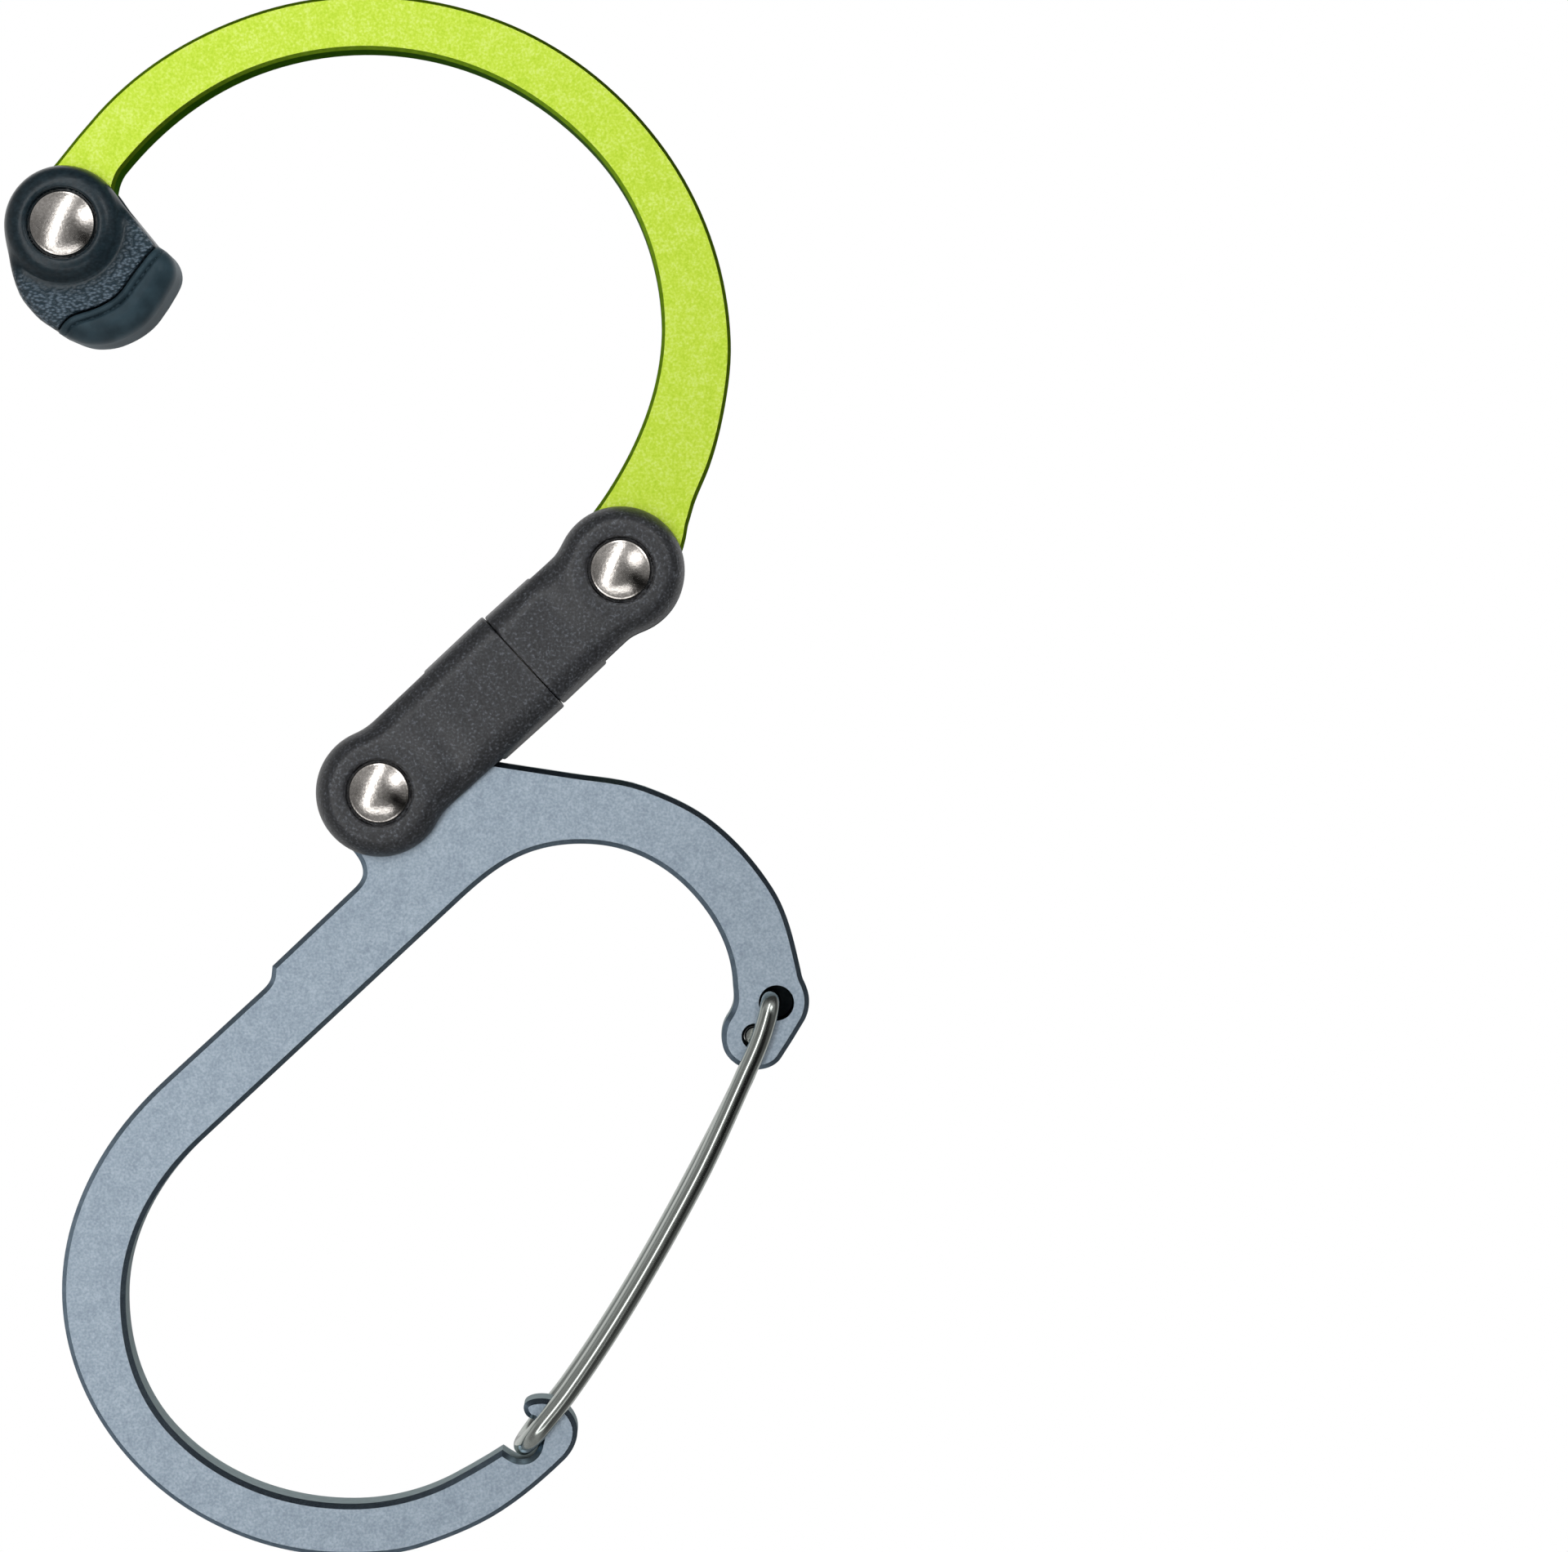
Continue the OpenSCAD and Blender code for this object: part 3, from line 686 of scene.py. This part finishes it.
for name, body, centre, boss_half, head_r in (
    ("hook", "upper_link", HOOK_PIVOT, BOSS_HALF, HEAD_R),
    ("link", "lower_link", LINK_PIVOT, BOSS_HALF, HEAD_R),
    ("foot", "foot", FOOT_PIVOT, FOOT_BOSS_HALF, FOOT_HEAD_R),
):
    for part, side, end in (("post", -1, POST_END), ("cap", 1, SPIGOT_END)):
        profile = rivet_profile(boss_half, head_r, side, end)
        make_piece(
            f"{name}_rivet_{part}_turned", turned_mesh(profile, centre), [rivet_nickel],
            body, f"{name}_rivet_{part}", sharp_angle=40)


# Moulded pieces: each is a field that is negative inside, and a skin of quads drawn where it is zero
def polygon_distance(x, z, loop):
    """Distance from each point to a closed loop, negative inside."""
    shape = np.broadcast(x, z).shape
    best = np.full(shape, np.inf)
    inside = np.zeros(shape, bool)
    for (ax, az), (bx, bz) in zip(loop, np.roll(loop, -1, 0)):
        ex, ez = bx - ax, bz - az
        t = np.clip(((x - ax) * ex + (z - az) * ez) / (ex * ex + ez * ez), 0, 1)
        best = np.minimum(best, (x - ax - t * ex) ** 2 + (z - az - t * ez) ** 2)
        if ez != 0:
            inside ^= ((az > z) != (bz > z)) & (x < ax + ex * (z - az) / ez)
    return np.where(inside, -1, 1) * np.sqrt(best)


def soft_max(a, b, k):
    """The larger of two fields, with the edge between them rounded over about k."""
    h = np.clip(0.5 + 0.5 * (a - b) / k, 0, 1)
    return b * (1 - h) + a * h + k * h * (1 - h)


def soft_min(a, b, k):
    return -soft_max(-a, -b, k)


def fade(r, start, end):
    """1 up to start, 0 from end on, smooth between."""
    t = np.clip((r - start) / (end - start), 0, 1)
    return 1 - t * t * (3 - 2 * t)


def slab(flat, y, half, rounding):
    """A flat shape of a half thickness, with rounded rims."""
    q, w = flat + rounding, np.abs(y) - half + rounding
    outside = np.hypot(np.maximum(q, 0), np.maximum(w, 0))
    return np.minimum(np.maximum(q, w), 0) + outside - rounding


# Pulling a skin onto its field: the step for the slope, the number of pulls and the least slope trusted
NUDGE = 0.02
PULLS = 4
LEAST_SLOPE = 0.2


def skin(field, low, high, step):
    """Points and quads of the surface where a field is zero, pulled onto it exactly."""
    axes = [np.arange(a - step, b + 2 * step, step) for a, b in zip(low, high)]
    grid = np.meshgrid(*axes, indexing="ij", sparse=True)
    value = field(*grid)
    corners = [(i, j, k) for i in (0, 1) for j in (0, 1) for k in (0, 1)]

    def shifted(a, c):
        return a[tuple(slice(o, n - 1 + o) for o, n in zip(c, a.shape))]

    solid = value < 0
    filled = sum(shifted(solid, c).astype(int) for c in corners)
    mixed = (filled > 0) & (filled < 8)
    number = np.full(mixed.shape, -1)
    number[mixed] = np.arange(mixed.sum())
    cells = np.argwhere(mixed).astype(float)
    at = [shifted(value, c)[mixed] for c in corners]
    total, hits = np.zeros_like(cells), np.zeros(len(cells))
    for a in range(8):
        for b in range(a + 1, 8):
            if sum(abs(p - q) for p, q in zip(corners[a], corners[b])) != 1:
                continue
            crossed = (at[a] < 0) != (at[b] < 0)
            t = np.where(crossed, at[a] / np.where(crossed, at[a] - at[b], 1), 0)[:, None]
            spot = np.array(corners[a]) + t * (np.array(corners[b]) - np.array(corners[a]))
            total += spot * crossed[:, None]
            hits += crossed
    points = np.array([a[0] for a in axes]) + (cells + total / hits[:, None]) * step
    quads = []
    for axis in range(3):
        one, two = (axis + 1) % 3, (axis + 2) % 3
        first = np.take(solid, range(solid.shape[axis] - 1), axis)
        second = np.take(solid, range(1, solid.shape[axis]), axis)
        edges = np.argwhere(first != second)
        edges = edges[(edges[:, one] > 0) & (edges[:, two] > 0)]
        back_one, back_two = np.eye(3, dtype=int)[one], np.eye(3, dtype=int)[two]
        ring = [edges - back_one - back_two, edges - back_two, edges, edges - back_one]
        ring = np.stack([number[tuple(c.T)] for c in ring], 1)
        outward = first[tuple(edges.T)]
        quads.append(np.where(outward[:, None], ring, ring[:, ::-1]))
    for _ in range(PULLS):
        here = field(*points.T)
        rise = [field(*(points + NUDGE * e).T) - field(*(points - NUDGE * e).T) for e in np.eye(3)]
        slope = np.stack(rise, 1) / (2 * NUDGE)
        pull = here / np.maximum((slope**2).sum(1), LEAST_SLOPE)
        points -= np.clip(pull[:, None] * slope, -step / 2, step / 2)
    return points, np.concatenate(quads)


def rivet_room(body, r, y, boss_half, head_r):
    """A body with the recesses for a rivet's two heads and the bore for its shank cut out of it."""
    recess = np.maximum(r - head_r - RECESS_GAP, boss_half - RECESS_D - np.abs(y))
    body = soft_max(body, -recess, RECESS_EDGE)
    return np.maximum(body, RIVET_R + BORE_PLAY - r)


# Link halves: u runs from the half's pivot towards the swivel seam, and z across the link
SKIN_MARGIN = 0.1
LINK_HALVES = {
    "lower": {"seam": SEAM_S, "slot": 13.7, "near": 7.3, "far": 7.5, "pin": PIN_SPAN, "washer_seat": True},
    "upper": {"seam": LINK_LEN - SEAM_S - SEAM_GAP, "slot": 8.8, "near": 7.1, "far": 7.2,
              "pin": (LINK_LEN - PIN_SPAN[1], LINK_LEN - PIN_SPAN[0]), "washer_seat": False},
}


def link_outline(half):
    lean = math.degrees(math.atan2(half["far"] - half["near"], half["seam"] - BAND_START))
    end = half["near"] + (BAND_END - BAND_START) * math.tan(math.radians(lean))
    boss = [on_circle((0, 0), BOSS_R, angle) for angle in (-BOSS_END_ANGLE, -90, 180, 90, BOSS_END_ANGLE)]
    band = [
        (BAND_START, half["near"], lean), (BAND_END, end, lean, 270), (BAND_END, -end, 270, 180 - lean),
        (BAND_START, -half["near"], 180 - lean),
    ]
    return closed_path(boss + band, MOULD_TURN)


def link_field(half):
    loop = link_outline(half)

    def field(u, y, z):
        r = np.hypot(u, z)
        # The boss's rim stands a little above the band, with a shallow dip between them
        dip = DIP_D * np.exp(-((r - DIP_R) / DIP_W) ** 2)
        top = BAND_HALF + (BOSS_HALF - BAND_HALF) * fade(r, *BOSS_FADE) - dip
        edge = LINK_ROUND - CRISP_BY * fade(r, *CRISP_FADE)
        body = slab(polygon_distance(u, z, loop) + DRAFT * np.abs(y), y, top, edge)
        body = soft_max(body, u - half["seam"], SEAM_EDGE)
        slot = np.maximum(np.abs(y) - SLOT_HALF, u - half["slot"])
        body = soft_max(body, -slot, SLOT_EDGE)
        body = rivet_room(body, r, y, BOSS_HALF, HEAD_R)
        reach = np.hypot(y, z)
        start, end = half["pin"]
        shank = np.maximum(np.maximum(reach - PIN_R, start - u), u - end)
        collars = np.minimum(
            np.maximum(start - u, u - start - COLLAR_T), np.maximum(end - COLLAR_T - u, u - end))
        hollow = np.minimum(shank, np.maximum(reach - COLLAR_R, collars))
        if half["washer_seat"]:
            seat = np.maximum(reach - WASHER_SEAT_R, half["seam"] - WASHER_SEAT_D - u)
            hollow = np.minimum(hollow, seat)
        body = np.maximum(body, -hollow)
        return soft_max(body, y + PARTING_GAP, PARTING_EDGE)

    return field


LINK_STEP = 0.25
for name, half in LINK_HALVES.items():
    low = (-BOSS_R, -BOSS_HALF - SKIN_MARGIN, -BOSS_R)
    high = (half["seam"], 0, BOSS_R)
    points, quads = skin(link_field(half), low, high, LINK_STEP)
    s = points[:, 0] if name == "lower" else LINK_LEN - points[:, 0]
    d = points[:, 2]
    x = LINK_PIVOT[0] + s * LINK_RAY[0] - d * LINK_RAY[1]
    z = LINK_PIVOT[1] + s * LINK_RAY[1] + d * LINK_RAY[0]
    front = quads if name == "lower" else quads[:, ::-1]
    for side, faces, depth in (("front", front, points[:, 1]), ("back", front[:, ::-1], -points[:, 1])):
        make_piece(
            f"{name}_{side}_moulding", mesh_of(np.stack((x, depth, z), 1), faces.tolist()), [link_nylon],
            f"{name}_link", f"{name}_{side}_shell", sharp_angle=60)


# Foot
FOOT_LOOP = closed_path(FOOT_NODES, MOULD_TURN)
TIP_WEDGE = np.array([(0, 0)] + [tuple(TIP_ROOM_REACH * ray(a)) for a in TIP_ROOM_ANGLES])


def seam_gap(y):
    """Half the gap between core and sole: closed inside, and a groove near the two faces."""
    return FOOT_SEAM_OPEN - FOOT_SEAM_CLOSING * fade(np.abs(y), *FOOT_SEAM_FADE)


def core_field(x, y, z):
    r = np.hypot(x, z)
    top = CORE_HALF - CORE_DIP * fade(r, *CORE_DIP_FADE)
    body = slab(polygon_distance(x, z, FOOT_LOOP), y, top, CORE_ROUND)
    body = soft_max(body, seam_gap(y) - polygon_distance(x, z, SOLE_SIDE), CORE_SEAM_EDGE)
    boss = slab(r - FOOT_BOSS_R, y, FOOT_BOSS_HALF, FOOT_BOSS_ROUND)
    body = soft_min(body, boss, FOOT_BOSS_BLEND)
    slot = np.maximum(np.minimum(r - TIP_ROOM_R, polygon_distance(x, z, TIP_WEDGE)), np.abs(y) - SLOT_HALF)
    body = soft_max(body, -slot, SLOT_EDGE)
    return rivet_room(body, r, y, FOOT_BOSS_HALF, FOOT_HEAD_R)


def sole_field(x, y, z):
    into = polygon_distance(x, z, SOLE_SIDE)
    groove = GROOVE_D * np.exp(-((into + GROOVE_AT) / GROOVE_W) ** 2) + LIP_D * fade(-into, *LIP_FADE)
    body = slab(polygon_distance(x, z, FOOT_LOOP) - SOLE_PROUD, y, SOLE_HALF - groove, SOLE_ROUND)
    return soft_max(body, into + seam_gap(y), SOLE_SEAM_EDGE)


FOOT_STEP = 0.2
for name, node, field, low, high, material, slot in (
    ("foot_core_moulding", "foot_core", core_field, (-7.4, -6.3, -13.4), (12, 6.3, 7.4),
     core_nylon, "foot_plastic"),
    ("foot_sole_moulding", "foot_sole", sole_field, (-2, -5.7, -16.2), (15.4, 5.7, -1.5),
     sole_rubber, "foot_rubber"),
):
    points, quads = skin(field, low, high, FOOT_STEP)
    points = points + np.array((FOOT_PIVOT[0], 0, FOOT_PIVOT[1]))
    make_piece(name, mesh_of(points, quads.tolist()), [material], "foot", node, sharp_angle=60)


# Solids that show as they are
for node, material in (
    ("foot_washers", washer_nylon), ("hook_washers", washer_nylon), ("link_washers", washer_nylon),
    ("swivel_washer", washer_nylon), ("swivel_pin", pin_steel),
):
    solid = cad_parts[node]
    solid.data.materials.clear()
    solid.data.materials.append(material)


# Camera: square to the plates, with the small shift that puts the clip where the picture has it
FRAME_W = 0.192
FRAME_DISTANCE = 0.5
FRAME_MIDDLE_X = 0.051
FRAME_MIDDLE_Z = -0.0889
camera_data = bpy.data.cameras.new("camera")
camera_data.sensor_width = 36
camera_data.lens = camera_data.sensor_width * FRAME_DISTANCE / FRAME_W
camera_data.shift_x = 0.083
camera_data.shift_y = -0.04
camera = bpy.data.objects.new("camera", camera_data)
camera.location = (
    FRAME_MIDDLE_X - camera_data.shift_x * FRAME_W, -FRAME_DISTANCE - PLATE_T / 2 * MM,
    FRAME_MIDDLE_Z - camera_data.shift_y * FRAME_W)
camera.rotation_euler = (math.radians(90), 0, 0)
bpy.context.scene.collection.objects.link(camera)
bpy.context.scene.camera = camera

# Light: soft boxes for the matt surfaces, and a room of light and dark for the shiny ones to mirror
MIDDLE = Vector((0.005, 0, -0.09))


def soft_box(name, place, width, height, power):
    lamp = bpy.data.lights.new(name, "AREA")
    lamp.shape = "RECTANGLE"
    lamp.size, lamp.size_y = width, height
    lamp.energy = power
    made = bpy.data.objects.new(name, lamp)
    made.location = place
    made.rotation_euler = (MIDDLE - Vector(place)).to_track_quat("-Z", "Y").to_euler()
    made.visible_glossy = False
    bpy.context.scene.collection.objects.link(made)


# Brightness of the room by direction, as (x, y, z, level): the clip's front faces -y
ROOM_LEVELS = np.array([
    (0, -1, 0, 0.22), (-0.7, -0.7, 0, 0.22), (-0.5, -0.7, 0.5, 0.5), (0, -0.7, 0.7, 0.4),
    (0.5, -0.7, 0.5, 0.5), (0.7, -0.7, 0, 0.4), (0.6, -0.7, -0.4, 0.02), (0, -0.75, -0.66, 0.4),
    (-0.5, -0.7, -0.5, 0.25), (-1, 0, 0, 0.6), (-0.7, 0, 0.7, 0.3), (-0.4, -0.2, 0.9, 0.06),
    (0, -0.2, 1, 0.06), (0, 0.2, 1, 0.1), (0.4, -0.2, 0.9, 0.06), (0.7, 0, 0.7, 0.06),
    (1, 0, 0, 0.1), (0.7, 0, -0.7, 0.15), (0, 0, -1, 0.35), (-0.7, 0, -0.7, 0.5), (0, 0.96, 0.28, 0.8),
    (0.2, 0.96, -0.2, 0.15), (-0.7, 0.7, 0, 0.9), (0.7, 0.7, 0, 1.0), (0, 0.7, 0.7, 1.0),
    (0, 0.7, -0.7, 0.6), (0.5, 0.7, -0.5, 0.7),
])

# How quickly one listed direction gives way to the next, and the least part of a direction that points
# forwards when it is laid out on the front wall
ROOM_BLEND = 18
LEAST_FRONT = 0.05

# Soft lines on the room's front wall, as (start, end, width, level): a dark gap, then a strip lamp with
# its halo, a window and a bright sheet
ROOM_GAP = ((0.4, -0.24), (1.6, -1.0), 0.22, 0.95)
ROOM_LIGHTS = (
    ((-0.47, -0.45), (0.03, 0.9), 0.085, 4.2), ((-0.47, -0.45), (0.03, 0.9), 0.2, 0.7),
    ((0.44, 0.33), (0.56, 0.43), 0.17, 4.2), ((-0.35, -0.63), (0.25, -0.61), 0.1, 2.4),
)


def soft_line(across, up, line):
    """The level that a soft line adds at each spot of the front wall."""
    (ax, az), (bx, bz), width, level = line
    along = ((across - ax) * (bx - ax) + (up - az) * (bz - az)) / ((bx - ax) ** 2 + (bz - az) ** 2)
    along = np.clip(along, 0, 1)
    away = np.hypot(across - ax - along * (bx - ax), up - az - along * (bz - az))
    return level * np.exp(-(away / width) ** 2)


def room_level(x, y, z):
    """Even shades between the listed directions, with the soft lines in front."""
    way = np.stack((x, y, z), -1)
    listed = ROOM_LEVELS[:, :3] / np.linalg.norm(ROOM_LEVELS[:, :3], axis=1)[:, None]
    weight = np.exp(ROOM_BLEND * (way @ listed.T - 1))
    level = (weight * ROOM_LEVELS[:, 3]).sum(-1) / weight.sum(-1)
    front = np.maximum(-y, LEAST_FRONT)
    across, up = x / front, z / front
    lit = level * (1 - soft_line(across, up, ROOM_GAP))
    for line in ROOM_LIGHTS:
        lit = lit + soft_line(across, up, line)
    return np.where(y < 0, lit, level)


def mirror_room(name, radius, rows=90, columns=180):
    """A globe round everything that only reflections show."""
    tilt = np.linspace(0, math.pi, rows + 1)[:, None]
    swing = np.arange(columns) * 2 * math.pi / columns
    x, y, z = np.sin(tilt) * np.cos(swing), np.sin(tilt) * np.sin(swing), np.cos(tilt) + 0 * swing
    globe = bpy.data.meshes.new(name)
    spots = radius * np.stack((x, y, z), -1).reshape(-1, 3)
    faces = []
    for row in range(rows):
        for c in range(columns):
            n = (c + 1) % columns
            top, low = row * columns, (row + 1) * columns
            faces.append((top + c, top + n, low + n, low + c))
    globe.from_pydata(spots.tolist(), [], faces)
    level = room_level(x, y, z).reshape(-1, 1)
    shades = np.concatenate((level, level, level, np.ones_like(level)), 1)
    globe.color_attributes.new("level", "FLOAT_COLOR", "POINT").data.foreach_set("color", shades.ravel())
    shade, tree, _ = start_material(name)
    shade.cycles.emission_sampling = "NONE"
    painted = add(tree, "ShaderNodeAttribute", attribute_name="level")
    glow = add(tree, "ShaderNodeEmission", {"Color": painted.outputs["Color"], "Strength": 1.0})
    add(tree, "ShaderNodeOutputMaterial", {"Surface": glow.outputs["Emission"]})
    globe.materials.append(shade)
    made = bpy.data.objects.new(name, globe)
    made.visible_camera = made.visible_diffuse = made.visible_shadow = False
    bpy.context.scene.collection.objects.link(made)


soft_box("key_box", (0.5, -0.7, 0.6), 0.4, 0.4, 6.5)
soft_box("fill_box", (-0.7, -0.8, 0.1), 0.4, 0.4, 1.4)
soft_box("back_box", (0.4, 0.9, 0.4), 0.5, 0.5, 5.0)
mirror_room("mirror_room", 2.0)

world = bpy.data.worlds.new("white_studio")
bpy.context.scene.world = world
world.use_nodes = True
# The background is not sampled as a lamp, so that shiny surfaces mirror the room alone
world.cycles.sampling_method = "NONE"
tree = world.node_tree
tree.nodes.clear()
path = add(tree, "ShaderNodeLightPath").outputs
seen = add(tree, "ShaderNodeMath", {0: path["Is Camera Ray"], 1: path["Is Glossy Ray"]}, operation="MAXIMUM")
seen = add(tree, "ShaderNodeMath", {0: seen.outputs[0], 1: path["Is Transmission Ray"]}, operation="MAXIMUM")
level = add(
    tree, "ShaderNodeMapRange", {"Value": seen.outputs[0], "To Min": 0.25, "To Max": 1.0}).outputs["Result"]
sky = add(tree, "ShaderNodeBackground", {"Color": (1, 1, 1, 1), "Strength": level})
add(tree, "ShaderNodeOutputWorld", {"Surface": sky.outputs["Background"]})

# Floor: pale matt board that takes the shadow, and fades into the white of the background towards its rim
FLOOR_Z = -0.3
FLOOR_R = 0.45
floor_mesh = bpy.data.meshes.new("floor")
rim = circle((0, 0), FLOOR_R, 128)
floor_mesh.from_pydata([(x, y, FLOOR_Z) for x, y in rim], [], [tuple(range(len(rim)))])
pale_board, tree, place = start_material("pale_matt_board")
spread = add(tree, "ShaderNodeVectorMath", {0: place}, operation="LENGTH").outputs["Value"]
edge = add(
    tree, "ShaderNodeMapRange", {"Value": spread, "From Min": 0.25, "From Max": 0.5}).outputs["Result"]
fibre = noise(tree, place, 2, 3.0)
tint = ramp(tree, fibre, [(0.3, "#F4F4F4"), (0.7, "#F8F8F8")])
paper = add(tree, "ShaderNodeBsdfDiffuse", {"Color": tint})
white = add(tree, "ShaderNodeEmission", {"Color": (1, 1, 1, 1), "Strength": 1.0})
mixed = add(tree, "ShaderNodeMixShader", {0: edge, 1: paper.outputs["BSDF"], 2: white.outputs["Emission"]})
add(tree, "ShaderNodeOutputMaterial", {"Surface": mixed.outputs["Shader"]})
floor_mesh.materials.append(pale_board)
floor = bpy.data.objects.new("floor", floor_mesh)
floor.visible_glossy = False
bpy.context.scene.collection.objects.link(floor)

bpy.context.scene.view_settings.view_transform = "Standard"
